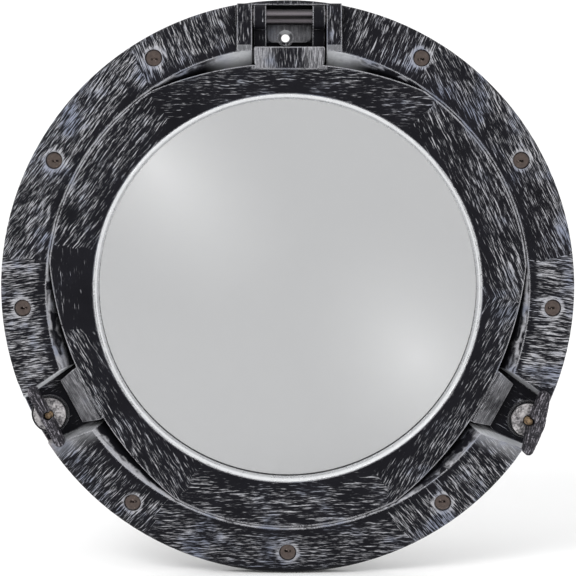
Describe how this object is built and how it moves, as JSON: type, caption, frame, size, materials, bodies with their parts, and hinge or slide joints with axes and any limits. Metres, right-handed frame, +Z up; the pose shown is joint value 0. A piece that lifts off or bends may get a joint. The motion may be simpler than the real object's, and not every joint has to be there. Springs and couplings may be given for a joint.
{
  "type": "round ship's window",
  "caption": "Round porthole window: cast frame ring with neck, top-hung door ring with glass, and two swing-bolt dogs with wing nuts.",
  "frame": {"origin": "centre of the ring on the wall plane, where the back of the flange lies", "axes": "+Z up with the hinge at the top, +Y through the wall along the neck; the face looks along -Y"},
  "size_m": [0.508, 0.0802, 0.508],
  "materials": {
    "casting": "sand-cast, painted black and dry-brushed with silver, worn bright on the edges",
    "worn_casting": "cast, black paint worn through to silver",
    "dark_metal": "smooth dark bronze",
    "pin_metal": "smooth, blackened",
    "washer_metal": "painted black, edges worn",
    "bolt_brass": "dull, aged",
    "screw_metal": "plated",
    "polished_bead": "polished",
    "back_ring": "painted black, satin",
    "rubber": "matt",
    "glass": "clear, flat"
  },
  "bodies": {
    "frame": {"frame_ring": "casting", "neck_sleeve": "casting", "dome_rivets": "dark_metal", "hinge_pin": "pin_metal", "dog_pin_left": "pin_metal", "dog_pin_right": "pin_metal"},
    "door": {"door_ring": "casting", "glazing_bead": "polished_bead", "glass_pane": "glass", "glass_gasket": "rubber", "retaining_ring": "back_ring", "retaining_screws": "screw_metal", "door_seal": "rubber"},
    "bolt_left": {"dog_bolt_left": "bolt_brass"},
    "washer_left": {"dog_washer_left": "washer_metal"},
    "nut_left": {"wing_nut_left": "worn_casting"},
    "bolt_right": {"dog_bolt_right": "bolt_brass"},
    "washer_right": {"dog_washer_right": "washer_metal"},
    "nut_right": {"wing_nut_right": "worn_casting"}
  },
  "joints": [
    {"name": "door_hinge", "type": "hinge", "parent": "frame", "child": "door", "pos_m": [0.0015, -0.02, 0.2387], "axis": [-1, 0, 0], "range_deg": [0, 105]},
    {"name": "dog_swing_left", "type": "hinge", "parent": "frame", "child": "bolt_left", "pos_m": [-0.2079, -0.0062, -0.10869], "axis": [0.4633, 0, -0.8862], "range_deg": [-2, 39]},
    {"name": "washer_slide_left", "type": "slide", "parent": "bolt_left", "child": "washer_left", "axis": [-0.0926, -0.9945, -0.0484], "range_m": [-0.0016, 0.0031]},
    {"name": "nut_spin_left", "type": "hinge", "parent": "washer_left", "child": "nut_left", "pos_m": [-0.2079, -0.0062, -0.10869], "axis": [-0.0926, -0.9945, -0.0484], "range_deg": [-360, 720]},
    {"name": "dog_swing_right", "type": "hinge", "parent": "frame", "child": "bolt_right", "pos_m": [0.20617, -0.0062, -0.11194], "axis": [0.4772, 0, 0.8788], "range_deg": [-11, 30]},
    {"name": "washer_slide_right", "type": "slide", "parent": "bolt_right", "child": "washer_right", "axis": [0.2275, -0.9659, -0.1235], "range_m": [-0.0016, 0.0031]},
    {"name": "nut_spin_right", "type": "hinge", "parent": "washer_right", "child": "nut_right", "pos_m": [0.20617, -0.0062, -0.11194], "axis": [0.2275, -0.9659, -0.1235], "range_deg": [-360, 720]}
  ],
  "couplings": [
    {"joint": "washer_slide_left", "follows": "nut_spin_left", "m_per_rad": 0.00023873},
    {"joint": "washer_slide_right", "follows": "nut_spin_right", "m_per_rad": 0.00023873}
  ]
}
